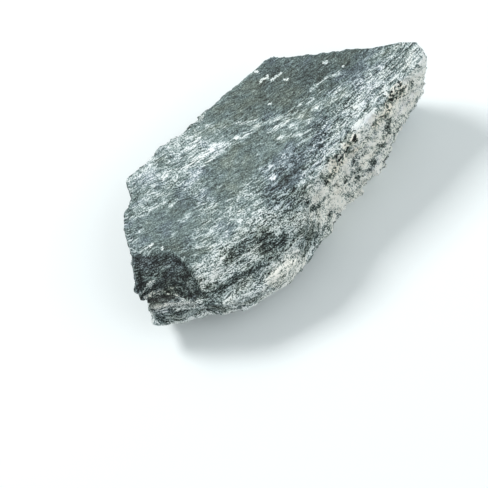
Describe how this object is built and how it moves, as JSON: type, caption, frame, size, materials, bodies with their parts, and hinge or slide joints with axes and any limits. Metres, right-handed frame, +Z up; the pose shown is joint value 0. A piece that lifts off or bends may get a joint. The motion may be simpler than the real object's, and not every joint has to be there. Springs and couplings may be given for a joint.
{
  "type": "phyllite rock",
  "caption": "Hand-sized broken slab of foliated metamorphic rock with a broad cleavage face on top, one pointed end and a chipped, hollowed other end.",
  "frame": {"origin": "centre of the bounding box in plan, on the plane the stone lies on", "axes": "+Z up out of the broad cleavage face, +X along the length to the pointed end, +Y to the long broken back side"},
  "size_m": [0.1252, 0.0633, 0.0342],
  "materials": {
    "phyllite": "broken, grey-green with pale streaks, faint silky sheen"
  },
  "bodies": {
    "root": {"phyllite": "phyllite"}
  },
  "joints": []
}
